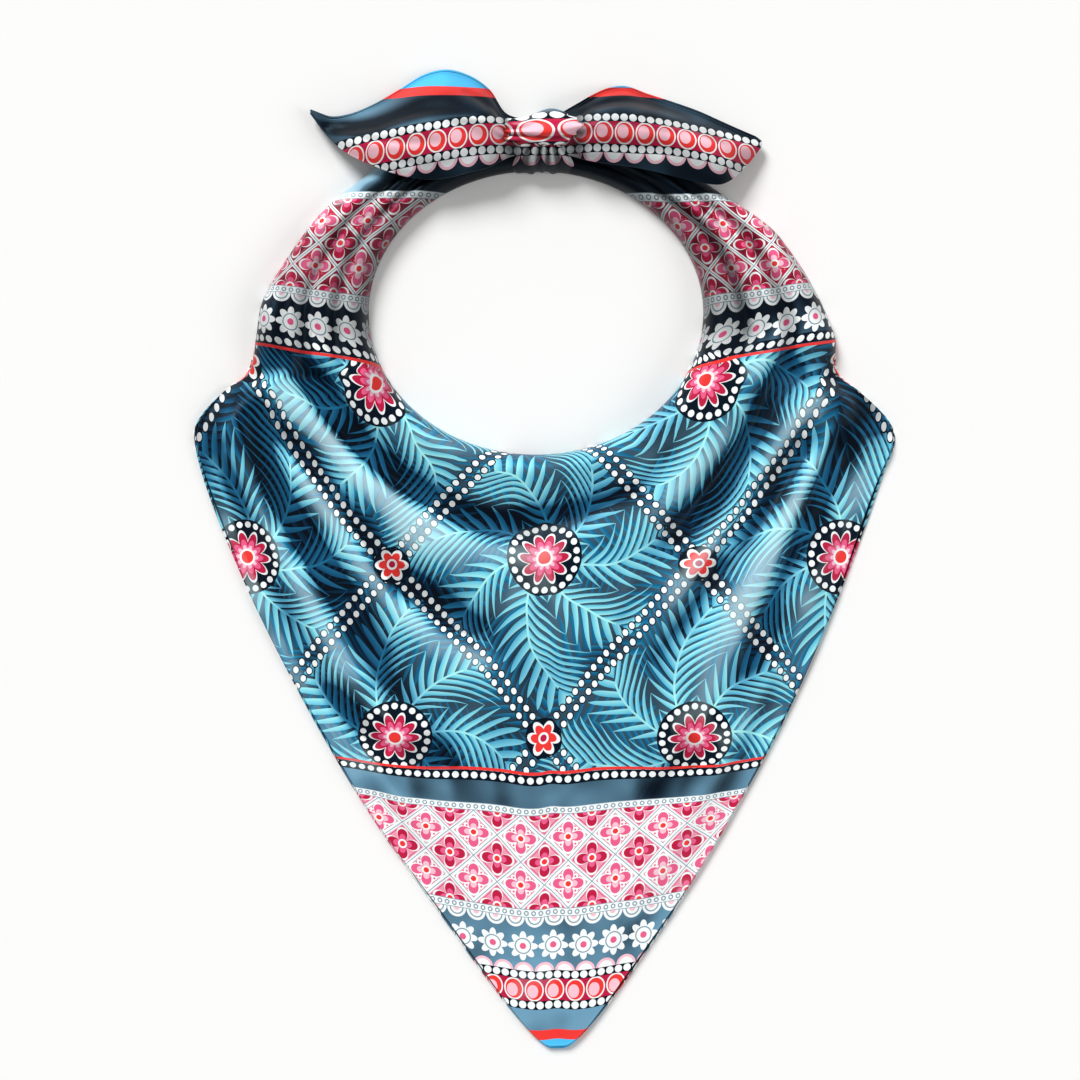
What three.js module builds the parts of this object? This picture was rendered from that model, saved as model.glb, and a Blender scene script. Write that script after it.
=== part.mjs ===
// Silk square scarf, folded corner to corner, tied in a square knot and laid flat.
// Millimetres, +Z up. It lies on z = 0, its point towards -Y and its knot towards +Y,
// with the neck opening between them. The origin is under the middle of its outline.
import * as THREE from "three";

// Driving sizes
const neck = { x: -4, y: 115.5, halfWidth: 78.5, halfHeight: 66.5 };
const wall = 1.2; // one ply of cloth, as a solid
const tailWall = 1.6; // the two plies of a tie end
const layerGap = 0.35; // air between plies that lie on each other
const underEdge = 1.45; // thickness of the lower ply where it shows at the edge
const floorLift = 0.5; // height of a rolled edge above the table
const neckRoll = 9; // how far in the neckline's rolled fold turns down
const bandRoll = 11; // the same at a band's outer side
const bedRise = 4.2; // how high the hidden plies stand near the neck
const foldRise = 9.5; // how high the soft folds stand over them
const foldFade = 165; // distance from the neck at which both have mostly died down
const edgeRelease = 26; // width along the free edge where the folds flatten out
const plyStep = 1.3; // mean step from the lower ply's edge to the upper one's
const seamGap = 0.045; // half of the parting between two stretches, in table rows

const toRows = (columns, table) =>
  table.map((line) => Object.fromEntries(columns.map((name, i) => [name, line[i]])));

// One row for each section of cloth round the neck opening: where it leaves the neckline,
// in degrees, and where it ends on the outline.
const sections = toRows(["angle", "x", "y"], [
  [100, -18.6, 202.4],
  [112, -38.8, 203.5],
  [126, -65.6, 194.1],
  [138, -86.2, 178.1],
  [152, -105.5, 161.7],
  [166, -122.4, 138.7],
  [178, -132.4, 120.8],
  [190, -135.6, 102.9],
  [200, -139.8, 87.0],
  [204, -149.7, 79.4],
  [208, -161.0, 67.7],
  [212, -164.5, 57.4],
  [219, -160.0, 37.1],
  [228, -148.3, 6.1],
  [237, -131.8, -30.6],
  [246, -108.3, -75.7],
  [254, -81.5, -120.8],
  [261, -49.6, -165.9],
  [266, -20.9, -205.4],
  [270, -2.1, -226.6],
  [272.5, 6.3, -229.8],
  [275, 14.8, -226.2],
  [279, 32.7, -205.4],
  [284, 62.3, -163.1],
  [291, 89.5, -118.0],
  [299, 112.6, -75.7],
  [308, 132.8, -30.6],
  [317, 148.3, 8.9],
  [326, 159.1, 40.0],
  [332, 164.5, 54.5],
  [337, 161.4, 65.3],
  [342, 149.2, 77.6],
  [346, 137.5, 87.9],
  [355, 136.5, 103.9],
  [366, 127.1, 125.5],
  [378, 116.8, 142.4],
  [391, 105.0, 156.5],
  [404, 84.8, 170.1],
  [416, 59.0, 187.5],
  [426, 35.0, 199.6],
  [435, 18.0, 202.4],
]);
const rowAt = (angle) => sections.findIndex((row) => row.angle === angle);
const leftSeam = rowAt(200);
const rightSeam = rowAt(346);
const lastRow = sections.length - 1;

// Valleys between the soft folds, as they fan out from the two shoulders.
const valleys = toRows(["path", "depth", "width"], [
  [[[-122, 104], [-98, 66], [-66, 36], [-24, 16], [10, 20], [58, 46]], 1.0, 11],
  [[[-124, 62], [-96, 31], [-70, -6], [-38, -31], [-2, -47]], 0.9, 10],
  [[[-141, 78], [-124, 31], [-99, -13], [-73, -55], [-36, -98]], 1.0, 12],
  [[[-152, 50], [-137, 5], [-108, -54], [-74, -110]], 0.6, 7],
  [[[118, 106], [103, 70], [82, 34], [54, 4], [34, -14]], 1.0, 10],
  [[[128, 66], [104, 30], [82, -4], [61, -35], [38, -64]], 0.9, 10],
  [[[142, 62], [118, 9], [93, -52], [78, -84]], 0.95, 9],
  [[[110, -56], [90, -98], [68, -136]], 0.5, 7],
  [[[72, -78], [58, -101], [44, -122]], 0.5, 9],
]);

// Lengthwise pleats of the two bands: where each valley lies across the band, from the
// neckline at 0 to the outer side at 1, at its two ends, and how deep it is.
const leftPleats = toRows(["atKnot", "atShoulder", "depth", "width"], [
  [0.36, 0.3, 3.2, 0.07],
  [0.66, 0.56, 4.2, 0.08],
]);
const rightPleats = toRows(["atKnot", "atShoulder", "depth", "width"], [
  [0.3, 0.32, 4.0, 0.08],
  [0.7, 0.62, 3.6, 0.07],
]);
const bandCrown = { atKnot: 11.5, atShoulder: bedRise + underEdge + wall + foldRise };

// Tie ends: one row for each section from the knot to the tip, with its two edges and
// the height of each edge and of the crown between them.
const tailColumns = ["x", "lowY", "highY", "lowZ", "crownZ", "highZ"];
const leftTailSections = toRows(tailColumns, [
  [-17.8, 186.0, 206.0, 13.5, 19.5, 12.5],
  [-25.6, 181.9, 219.0, 14.2, 20.5, 7.0],
  [-35.0, 179.5, 226.5, 13.6, 20.0, 4.5],
  [-45.8, 176.9, 229.6, 13.6, 19.5, 3.6],
  [-56.2, 176.3, 227.4, 13.8, 19.0, 3.4],
  [-67.9, 178.4, 219.6, 14.0, 18.5, 3.6],
  [-79.7, 182.6, 211.8, 14.0, 17.0, 4.6],
  [-91.4, 188.5, 207.0, 11.0, 13.5, 5.0],
  [-100.8, 196.6, 206.0, 7.0, 8.5, 4.8],
  [-109.5, 208.0, 210.2, 5.0, 5.6, 5.0],
]);
const rightTailSections = toRows(tailColumns, [
  [16.6, 186.0, 206.5, 13.5, 19.5, 12.5],
  [22.0, 184.6, 214.6, 14.4, 20.5, 8.0],
  [30.0, 183.4, 220.2, 13.8, 20.0, 4.8],
  [38.0, 182.4, 221.4, 13.6, 19.5, 3.8],
  [48.0, 180.6, 217.6, 13.8, 19.0, 3.6],
  [60.0, 177.6, 213.4, 14.2, 18.5, 4.2],
  [72.0, 174.8, 208.4, 14.4, 17.5, 5.0],
  [83.0, 174.4, 203.4, 12.5, 15.0, 5.4],
  [93.0, 182.0, 199.0, 8.5, 10.0, 5.2],
  [101.5, 192.6, 195.4, 5.6, 6.0, 5.4],
]);
const tailValleys = toRows(["path", "depth", "width"], [
  [[[-104, 206], [-88, 202.5], [-70, 208], [-52, 215.5], [-36, 214], [-22, 204]], 3.2, 3.4],
  [[[24, 207], [42, 209], [62, 203], [84, 196]], 2.4, 3.6],
]);

// Knot: a rounded heart with a strap of cloth drawn tight over it
const knot = { x: -0.6, y: 195.5, halfLength: 16.8, halfWidth: 14, height: 20.5, waist: 0.14, pleats: 6, pleatDepth: 0.9 };
const strap = { halfWidth: 11, thickness: 3.4, slant: 0.34, pleats: 3, pleatDepth: 0.6 };

// Helpers
const mix = (a, b, f) => a + (b - a) * f;
const clamp01 = (v) => Math.min(1, Math.max(0, v));
const smooth = (v) => {
  const f = clamp01(v);
  return f * f * (3 - 2 * f);
};
const quarterRound = (v) => Math.sqrt(1 - (1 - clamp01(v)) ** 2);

// A path's points, close enough together to measure a distance to them.
function tracePath(path, steps = 40) {
  const curve = new THREE.CatmullRomCurve3(path.map(([x, y]) => new THREE.Vector3(x, y, 0)));
  return curve.getSpacedPoints(steps);
}

// How deep a table's valleys are at a point, as a sum of soft troughs that widen along
// their way and fade at their ends.
function valleyDepth(traced, x, y) {
  let total = 0;
  for (const { points, depth, width, openStart } of traced) {
    let nearest = Infinity;
    let at = 0;
    points.forEach((p, i) => {
      const distance = Math.hypot(p.x - x, p.y - y);
      if (distance < nearest) [nearest, at] = [distance, i / (points.length - 1)];
    });
    const start = openStart ? smooth(0.35 + at * 5) : smooth(at * 5);
    const spread = width * mix(0.75, 1.2, at);
    total += depth * start * smooth((1 - at) * 2.6) * Math.exp(-((nearest / spread) ** 2));
  }
  return total;
}
const tracedValleys = valleys.map((v) => ({ ...v, points: tracePath(v.path), openStart: true }));
const tracedTailValleys = tailValleys.map((v) => ({ ...v, points: tracePath(v.path), openStart: false }));

// A section's two ends, at any place between the table's rows.
const sectionCurve = new THREE.CatmullRomCurve3(
  sections.map((row) => new THREE.Vector3(row.x, row.y, row.angle)),
  false,
  "catmullrom",
);
function sectionAt(row) {
  const end = sectionCurve.getPoint(row / lastRow);
  const turn = THREE.MathUtils.degToRad(end.z);
  const start = new THREE.Vector2(
    neck.x + neck.halfWidth * Math.cos(turn),
    neck.y + neck.halfHeight * Math.sin(turn),
  );
  const across = new THREE.Vector2(end.x, end.y).sub(start);
  return { start, length: across.length(), direction: across.normalize() };
}

// The upper ply of the drape lies on a bed of hidden plies, and its folds rise over it.
const fadeFrom = (fromNeck) => Math.exp(-((fromNeck / foldFade) ** 2));
const bedTop = (fromNeck, fromEdge) =>
  underEdge + bedRise * fadeFrom(fromNeck) * smooth(fromEdge / edgeRelease);
function drapeTop(fromNeck, fromEdge, x, y) {
  const rise = foldRise * fadeFrom(fromNeck) * smooth(fromEdge / edgeRelease);
  const open = Math.max(0, 1 - valleyDepth(tracedValleys, x, y));
  const full = bedTop(fromNeck, fromEdge) + layerGap + wall + rise * open;
  return mix(floorLift, full, quarterRound(fromNeck / neckRoll));
}

// A band is a soft roll with lengthwise pleats, round at both sides.
function bandTop(pleats, towardsShoulder, fromNeck, length) {
  const crown = mix(bandCrown.atKnot, bandCrown.atShoulder, smooth(towardsShoulder));
  const place = fromNeck / length;
  let top = crown * (0.86 + 0.14 * Math.sin(Math.PI * place));
  for (const { atKnot, atShoulder, depth, width } of pleats) {
    const centre = mix(atKnot, atShoulder, towardsShoulder);
    top -= depth * Math.exp(-(((place - centre) / width) ** 2));
  }
  const inner = quarterRound(fromNeck / neckRoll);
  const outer = quarterRound((length - fromNeck) / bandRoll);
  return mix(floorLift, top, inner * outer);
}

// Distances from the neckline of the points across a section, closer where it turns down
// and, with crowding over 1, closer near the neckline.
function stations(length, { turnOut = 0, turnSteps, middleSteps, crowding = 1 }) {
  const turn = Array.from({ length: turnSteps }, (_, i) => 1 - Math.cos((i / turnSteps) * Math.PI * 0.5));
  const middle = Array.from({ length: middleSteps + 1 }, (_, i) =>
    mix(neckRoll, length - turnOut, (i / middleSteps) ** crowding),
  );
  const outer = turnOut ? turn.map((f) => length - turnOut * f).reverse() : [];
  return [...turn.map((f) => neckRoll * f), ...middle, ...outer];
}

// A closed solid between two grids of points that have the same rows and columns.
function solidBetween(top, bottom) {
  const rows = top.length;
  const columns = top[0].length;
  const count = rows * columns;
  const positions = [...top.flat(), ...bottom.flat()].flatMap((p) => [p.x, p.y, p.z]);
  const index = [];
  const quad = (a, b, c, d) => index.push(a, b, c, a, c, d);
  const at = (i, j) => i * columns + j;
  for (let i = 0; i < rows - 1; i++) {
    for (let j = 0; j < columns - 1; j++) {
      quad(at(i, j), at(i + 1, j), at(i + 1, j + 1), at(i, j + 1));
      quad(count + at(i, j), count + at(i, j + 1), count + at(i + 1, j + 1), count + at(i + 1, j));
    }
  }
  const border = [];
  for (let i = 0; i < rows - 1; i++) border.push(at(i, 0));
  for (let j = 0; j < columns - 1; j++) border.push(at(rows - 1, j));
  for (let i = rows - 1; i > 0; i--) border.push(at(i, columns - 1));
  for (let j = columns - 1; j > 0; j--) border.push(at(0, j));
  border.forEach((a, k) => {
    const b = border[(k + 1) % border.length];
    quad(a, count + a, count + b, b);
  });
  if (signedVolume(positions, index) < 0) index.reverse();
  const geometry = new THREE.BufferGeometry();
  geometry.setAttribute("position", new THREE.Float32BufferAttribute(positions, 3));
  geometry.setIndex(index);
  geometry.computeVertexNormals();
  return geometry;
}

function signedVolume(positions, index) {
  const point = (i) => new THREE.Vector3().fromArray(positions, i * 3);
  let sum = 0;
  for (let k = 0; k < index.length; k += 3) {
    sum += point(index[k]).dot(point(index[k + 1]).cross(point(index[k + 2])));
  }
  return sum / 6;
}

// The same grid, moved in from its surface by a distance.
function movedIn(grid, distance) {
  const pick = (i, j) =>
    grid[Math.min(grid.length - 1, Math.max(0, i))][Math.min(grid[0].length - 1, Math.max(0, j))];
  return grid.map((line, i) =>
    line.map((p, j) => {
      const along = pick(i + 1, j).clone().sub(pick(i - 1, j));
      const across = pick(i, j + 1).clone().sub(pick(i, j - 1));
      const normal = along.cross(across).normalize();
      if (normal.z < 0) normal.negate();
      return p.clone().addScaledVector(normal, -distance);
    }),
  );
}
const onTable = (grid) => grid.map((line) => line.map((p) => new THREE.Vector3(p.x, p.y, 0)));
const evenBase = (grid) =>
  grid.map((line) => line.map((p, j) => line[0].clone().lerp(line.at(-1), j / (line.length - 1)).setZ(0)));

// Step from the lower ply's edge to the upper one's, uneven along the edge.
const stepIn = (row) => plyStep * (1 + 0.8 * Math.sin(row * 1.9) * Math.cos(row * 0.7));

const drapeRows = (perRow) => {
  const first = leftSeam + seamGap;
  const last = rightSeam - seamGap;
  const count = Math.round((last - first) * perRow);
  return Array.from({ length: count + 1 }, (_, i) => mix(first, last, i / count));
};
const pointOn = ({ start, direction }, fromNeck, height) =>
  new THREE.Vector3(start.x + direction.x * fromNeck, start.y + direction.y * fromNeck, height);

function frontDrape() {
  const top = drapeRows(2).map((row) => {
    const section = sectionAt(row);
    const length = section.length - stepIn(row);
    return stations(length, { turnSteps: 4, middleSteps: 31, crowding: 1.35 }).map((fromNeck) => {
      const p = pointOn(section, fromNeck, 0);
      p.z = drapeTop(fromNeck, length - fromNeck, p.x, p.y);
      return p;
    });
  });
  return solidBetween(top, movedIn(top, wall));
}

function underLayer() {
  const bedStart = 3.4;
  const top = drapeRows(2).map((row) => {
    const section = sectionAt(row);
    const upper = section.length - stepIn(row);
    const list = Array.from({ length: 9 }, (_, i) => mix(bedStart, upper, i / 8));
    return [...list, section.length].map((fromNeck) =>
      pointOn(section, fromNeck, bedTop(fromNeck, upper - fromNeck)),
    );
  });
  return solidBetween(top, onTable(top));
}

function band(fromRow, toRow, pleats) {
  const steps = 12;
  const top = Array.from({ length: steps + 1 }, (_, i) => {
    const row = mix(fromRow, toRow, i / steps);
    const section = sectionAt(row);
    return stations(section.length, { turnOut: bandRoll, turnSteps: 3, middleSteps: 11 }).map((fromNeck) =>
      pointOn(section, fromNeck, bandTop(pleats, i / steps, fromNeck, section.length)),
    );
  });
  return solidBetween(top, onTable(top));
}

function tail(table) {
  const edges = (low) =>
    new THREE.CatmullRomCurve3(table.map((r) => new THREE.Vector3(r.x, low ? r.lowY : r.highY, low ? r.lowZ : r.highZ)));
  const crowns = new THREE.CatmullRomCurve3(table.map((r) => new THREE.Vector3(r.x, 0, r.crownZ)));
  const steps = (table.length - 1) * 2;
  const acrossSteps = 11;
  const top = Array.from({ length: steps + 1 }, (_, i) => {
    const low = edges(true).getPoint(i / steps);
    const high = edges(false).getPoint(i / steps);
    const crown = crowns.getPoint(i / steps).z;
    return Array.from({ length: acrossSteps + 1 }, (_, j) => {
      const f = j / acrossSteps;
      const p = low.clone().lerp(high, f);
      const level = mix(low.z, high.z, smooth((f - 0.35) / 0.65));
      p.z = level + (crown - mix(low.z, high.z, 0.5)) * Math.sin(Math.PI * f) ** 0.8;
      const depth = valleyDepth(tracedTailValleys, p.x, p.y) * Math.sin(Math.PI * f);
      p.z -= depth;
      return p;
    });
  });
  return solidBetween(top, movedIn(top, tailWall));
}

// The heart of the knot, a rounded body that the strap is drawn round. It is drawn in at
// its waist and its pleats spread towards both ends.
function heartPoint(along, turn, swell = 0) {
  const taper = Math.sqrt(1 - 0.42 * along ** 2);
  const pleat = 1 - (knot.pleatDepth / knot.height) * (1 + Math.cos(turn * knot.pleats * 2)) * Math.abs(along);
  const size = taper * pleat * (1 - knot.waist * Math.exp(-((along / 0.45) ** 2)));
  return new THREE.Vector3(
    knot.x + along * knot.halfLength,
    knot.y - (knot.halfWidth * size + swell) * Math.cos(turn),
    Math.max(floorLift, (knot.height * size + swell) * Math.sin(turn)),
  );
}

function knotHeart() {
  const alongSteps = 10;
  const turnSteps = 18;
  const top = Array.from({ length: alongSteps + 1 }, (_, i) =>
    Array.from({ length: turnSteps + 1 }, (_, j) =>
      heartPoint(mix(-1, 1, i / alongSteps), (j / turnSteps) * Math.PI),
    ),
  );
  return solidBetween(top, evenBase(top));
}

function knotStrap() {
  const reach = strap.halfWidth / knot.halfLength;
  const at = (f, turn, swell) => {
    const along = mix(-reach, reach, f) + strap.slant * Math.cos(turn) * 0.5;
    return heartPoint(along, turn, swell);
  };
  const acrossSteps = 12;
  const turnSteps = 16;
  const grid = (swellAt) =>
    Array.from({ length: acrossSteps + 1 }, (_, i) =>
      Array.from({ length: turnSteps + 1 }, (_, j) => {
        const f = i / acrossSteps;
        return at(f, mix(0.02, 0.98, j / turnSteps) * Math.PI, swellAt(f));
      }),
    );
  const inside = layerGap * 2;
  const outside = (f) =>
    inside + strap.thickness * (0.35 + 0.65 * Math.sin(Math.PI * f) ** 0.6) -
    strap.pleatDepth * Math.sin(Math.PI * f) * Math.cos(f * strap.pleats * 2 * Math.PI);
  return solidBetween(grid(outside), grid(() => inside));
}

// Materials: printed silk, its under ply and the tied parts
const printedSilk = new THREE.MeshStandardMaterial({ color: 0x3f7396, roughness: 0.38, metalness: 0 });
const underSilk = new THREE.MeshStandardMaterial({ color: 0x22384d, roughness: 0.45, metalness: 0 });
const bandSilk = new THREE.MeshStandardMaterial({ color: 0xa8364f, roughness: 0.38, metalness: 0 });
const tailSilk = new THREE.MeshStandardMaterial({ color: 0x1f3148, roughness: 0.38, metalness: 0 });

const scarf = new THREE.Group();
function add(name, geometry, material) {
  const mesh = new THREE.Mesh(geometry, material);
  mesh.name = name;
  scarf.add(mesh);
}
add("under_layer", underLayer(), underSilk);
add("front_drape", frontDrape(), printedSilk);
add("left_band", band(0, leftSeam - seamGap, leftPleats), bandSilk);
add("right_band", band(lastRow, rightSeam + seamGap, rightPleats), bandSilk);
add("left_tail", tail(leftTailSections), tailSilk);
add("right_tail", tail(rightTailSections), tailSilk);
add("knot_heart", knotHeart(), tailSilk);
add("knot_strap", knotStrap(), tailSilk);

export default scarf;
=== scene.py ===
import math
import bpy
import numpy as np
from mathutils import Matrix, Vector


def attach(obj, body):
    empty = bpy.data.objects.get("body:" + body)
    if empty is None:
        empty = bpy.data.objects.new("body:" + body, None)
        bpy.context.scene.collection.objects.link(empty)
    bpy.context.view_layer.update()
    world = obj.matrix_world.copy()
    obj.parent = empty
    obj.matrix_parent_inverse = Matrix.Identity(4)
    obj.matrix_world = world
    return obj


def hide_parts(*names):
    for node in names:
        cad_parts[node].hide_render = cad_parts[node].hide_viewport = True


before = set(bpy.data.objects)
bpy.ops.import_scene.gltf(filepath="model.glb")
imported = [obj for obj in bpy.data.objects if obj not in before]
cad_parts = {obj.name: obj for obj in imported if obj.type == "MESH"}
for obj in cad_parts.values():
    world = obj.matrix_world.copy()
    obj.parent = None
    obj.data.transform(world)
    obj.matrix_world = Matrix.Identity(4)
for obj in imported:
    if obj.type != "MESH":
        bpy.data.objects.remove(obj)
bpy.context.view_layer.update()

# Silk square scarf, folded corner to corner, tied in a square knot and laid flat.
# Tables and sizes are in millimetres, with +Z up and the table top at z = 0.
# Meshes are made in metres.
mm = 0.001


# Sums that the shapes share

def mix(a, b, f):
    return a + (b - a) * f


def smooth(v):
    f = np.clip(v, 0, 1)
    return f * f * (3 - 2 * f)


def quarterRound(v):
    return np.sqrt(1 - (1 - np.clip(v, 0, 1)) ** 2)


def bell(v):
    return np.exp(-v * v)


# A smooth curve through points, at any place between them (0 is the first, 1 the second)
def curveThrough(points, at, centripetal=False):
    points = np.asarray(points, float)
    padded = np.vstack([2 * points[0] - points[1], points, 2 * points[-1] - points[-2]])
    i = np.clip(at.astype(int), 0, len(points) - 2)
    f = (at - i)[:, None]
    p0, p1, p2, p3 = (padded[i + k] for k in range(4))
    if centripetal:
        d0, d1, d2 = (np.sqrt(np.linalg.norm(b - a, axis=1, keepdims=True))
                      for a, b in ((p0, p1), (p1, p2), (p2, p3)))
        leave = ((p1 - p0) / d0 - (p2 - p0) / (d0 + d1) + (p2 - p1) / d1) * d1
        arrive = ((p2 - p1) / d1 - (p3 - p1) / (d1 + d2) + (p3 - p2) / d2) * d1
    else:
        leave, arrive = (p2 - p0) / 2, (p3 - p1) / 2
    return (p1 * (2 * f**3 - 3 * f**2 + 1) + leave * (f**3 - 2 * f**2 + f)
            + p2 * (3 * f**2 - 2 * f**3) + arrive * (f**3 - f**2))


# Distance of each point from a path (its sign tells the side), and how far along the nearest place is
def nearestOn(path, x, y, steps=40):
    points = curveThrough(path, np.linspace(0, len(path) - 1, steps), centripetal=True)
    legs = np.diff(points, axis=0)
    sizes = np.hypot(*legs.T)
    walked = np.concatenate([[0], np.cumsum(sizes)])
    nearest = np.full(x.shape, np.inf)
    at = np.zeros(x.shape)
    for (px, py), (dx, dy), size, before in zip(points, legs, sizes, walked):
        f = np.clip(((x - px) * dx + (y - py) * dy) / size**2, 0, 1)
        distance = np.hypot(x - px - f * dx, y - py - f * dy)
        closer = distance < np.abs(nearest)
        at = np.where(closer, (before + f * size) / walked[-1], at)
        nearest = np.where(closer, np.copysign(distance, dx * (y - py) - dy * (x - px)), nearest)
    return nearest, at


# Sum of a table's troughs: each widens along its way, fades at its ends and is steeper on one side
def troughs(table, x, y, openStart=True, lean=0.34, swell=0.16):
    total = np.zeros(x.shape)
    for i, (path, depth, width) in enumerate(table):
        distance, at = nearestOn(path, x, y)
        begins = smooth(0.35 + at * 5) if openStart else smooth(at * 5)
        uneven = 1 + swell * np.sin(at * 8 + i * 2.3)
        spread = width * mix(0.75, 1.2, at) * (1 + lean * np.tanh(distance / 4))
        total += depth * uneven * begins * smooth((1 - at) * 2.6) * bell(distance / spread)
    return total


# The flat outline: angle round the neckline, then the place on the outer edge

neck = {"x": -4, "y": 115.5, "halfWidth": 78.5, "halfHeight": 66.5}
sections = [  # angle, x, y
    (92, -7.0, 203.0), (100, -18.6, 202.4), (112, -38.8, 203.5), (126, -65.6, 194.1), (138, -86.2, 178.1),
    (152, -105.5, 161.7), (166, -122.4, 138.7), (178, -132.4, 120.8), (190, -135.6, 102.9),
    (200, -139.8, 87.0), (204, -149.7, 79.4), (208, -161.0, 67.7), (212, -164.5, 57.4), (219, -160.0, 37.1),
    (228, -148.3, 6.1), (237, -131.8, -30.6), (246, -108.3, -75.7), (254, -81.5, -120.8),
    (261, -49.6, -165.9), (266, -20.9, -205.4), (270, -2.1, -226.6), (272.5, 6.3, -229.8),
    (275, 14.8, -226.2), (279, 32.7, -205.4), (284, 62.3, -163.1), (291, 89.5, -118.0), (299, 112.6, -75.7),
    (308, 132.8, -30.6), (317, 148.3, 8.9), (326, 159.1, 40.0), (332, 164.5, 54.5), (337, 161.4, 65.3),
    (342, 149.2, 77.6), (346, 137.5, 87.9), (355, 136.5, 103.9), (366, 127.1, 125.5), (378, 116.8, 142.4),
    (391, 105.0, 156.5), (404, 84.8, 170.1), (416, 59.0, 187.5), (426, 35.0, 199.6), (435, 18.0, 202.4),
    (443, 6.0, 203.0),
]
angles = [row[0] for row in sections]
leftSeam, rightSeam, lastRow = angles.index(200), angles.index(346), len(sections) - 1
leftKnot, rightKnot = angles.index(100), angles.index(435)


def sectionsAt(row):
    found = curveThrough([(x, y, angle) for angle, x, y in sections], row)
    end, turn = found[:, :2], np.radians(found[:, 2])
    start = np.stack([neck["x"] + neck["halfWidth"] * np.cos(turn),
                      neck["y"] + neck["halfHeight"] * np.sin(turn)], -1)
    length = np.hypot(*(end - start).T)
    return start, end, length, (end - start) / length[:, None]


# Places between two rows of the table, evenly spaced on the ground
def evenRows(first, last, count):
    fine = np.linspace(first, last, 3000)
    start, end, _, _ = sectionsAt(fine)
    walked = sum(share * np.concatenate([[0], np.cumsum(np.hypot(*np.diff(side, axis=0).T))])
                 for side, share in ((start, 0.45), (end, 0.55)))
    return np.interp(np.linspace(0, walked[-1], count), walked, fine)


# The upper ply: soft folds over the chest, gathered bands up to the knot

drape = {
    "rows": 400,
    "middleColumns": 64,
    "ply": 0.42,
    "neckRoll": 9,  # how far in the neckline's rolled fold turns down
    "bandRoll": 11,  # the same at a band's outer side
    "turnHeight": 0.7,  # where a rolled fold starts to turn under
    "turnUnder": 14,
    "restHeight": 0.08,
    "leastHeight": 1.3,
    "bedRise": 4.2,
    "foldRise": 9.5,
    "foldFade": 165,
    "edgeRelease": 26,
    "creaseRelease": 14,
    "ripple": 0.35,
    "edgeHeight": 3.0,
    "plyStep": 1.3,
    "hemRadius": 0.8,
    "knotCrown": 11.5,
    "seamBlend": 2.6,  # table rows in which a band opens into the drape
    "bandTilt": 0.2,  # how steeply the print's rows rise outwards on the bands
    "tiltFrom": 30,  # where that starts in y, and over how far it comes in
    "tiltOver": 75,
    # Painted shade: the gathered bands are painted darker, most at their side at the neck
    "bandShade": 0.34,  # how much darker the gathered bands are, and their side at the neck
    "neckShade": 0.6,
    # Painted shade spots, each darkening the paint round a point; a value below 0 paints a highlight there
    "paintedShadeSpots": [  # x, y, reach, how dark (light where it is below 0)
        (-152, 56, 26, 0.34), (-132, 22, 24, 0.2), (152, 70, 16, 0.85), (-93, 172, 9, -0.7),
        (-80, 183, 8, -0.6), (98, 166, 7, -0.3), (-76, 82, 9, 0.6), (98, 72, 11, 0.3),
        (-128, 100, 12, 0.5), (138, 84, 11, 0.5), (-82, -60, 11, 0.3), (-54, -88, 13, 0.4),
    ],
}
valleys = [  # path, depth as a share of the fold, width
    ([(-122, 104), (-98, 66), (-66, 36), (-24, 16), (10, 20), (58, 46)], 1.0, 11),
    ([(-124, 62), (-96, 31), (-70, -6), (-38, -31), (-2, -47)], 0.9, 10),
    ([(-141, 78), (-124, 31), (-99, -13), (-73, -55), (-36, -98)], 1.0, 12),
    ([(-152, 50), (-137, 5), (-108, -54), (-74, -110)], 0.6, 7),
    ([(118, 106), (103, 70), (82, 34), (54, 4), (34, -14)], 1.0, 12.5),
    ([(128, 66), (104, 30), (82, -4), (61, -35), (38, -64)], 0.9, 10),
    ([(142, 62), (118, 9), (93, -52), (78, -84)], 0.95, 9),
    ([(110, -56), (90, -98), (68, -136)], 0.5, 7),
    ([(72, -78), (58, -101), (44, -122)], 0.5, 9),
]
creases = [  # path, depth, width: small ones that lie on the folds
    ([(-104, -58), (-84, -80), (-60, -91), (-30, -97)], 2.6, 7),
    ([(-66, -86), (-60, -104), (-56, -122)], 1.1, 5),
    ([(-44, -90), (-40, -106), (-37, -124)], 0.9, 5),
    ([(-22, -94), (-20, -108), (-19, -122)], 0.6, 5),
    ([(50, -88), (46, -104), (44, -120)], 0.8, 5),
    ([(76, -84), (68, -102), (62, -120)], 1.1, 5),
    ([(152, 76), (142, 64), (130, 44)], 2.4, 8),
    ([(60, 52), (44, 34), (22, 22)], 1.0, 6),
    ([(-84, -104), (-62, -138), (-42, -170)], 0.8, 6),
    ([(74, -128), (50, -164), (30, -192)], 0.8, 6),
    ([(-112, 92), (-92, 58), (-70, 38), (-44, 26)], 1.1, 4.5),
    ([(-133, 74), (-112, 44), (-92, 14), (-80, -8)], 1.3, 4.5),
    ([(-146, 58), (-130, 26), (-118, -4)], 0.9, 4),
    ([(-60, 52), (-36, 38), (-6, 34), (22, 40)], 0.8, 5),
    ([(-50, -18), (-26, -36), (0, -66)], 0.8, 6),
    ([(108, 90), (96, 60), (78, 40), (60, 30)], 1.1, 4.5),
    ([(136, 70), (116, 42), (100, 20), (84, 2)], 1.2, 4.5),
    ([(150, 54), (134, 22), (118, -12)], 0.9, 4),
    ([(46, -6), (34, -34), (16, -58)], 0.8, 6),
    ([(-92, -66), (-70, -100), (-50, -124)], 0.9, 6),
    ([(24, -96), (6, -124), (-4, -152)], 0.7, 8),
]
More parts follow.
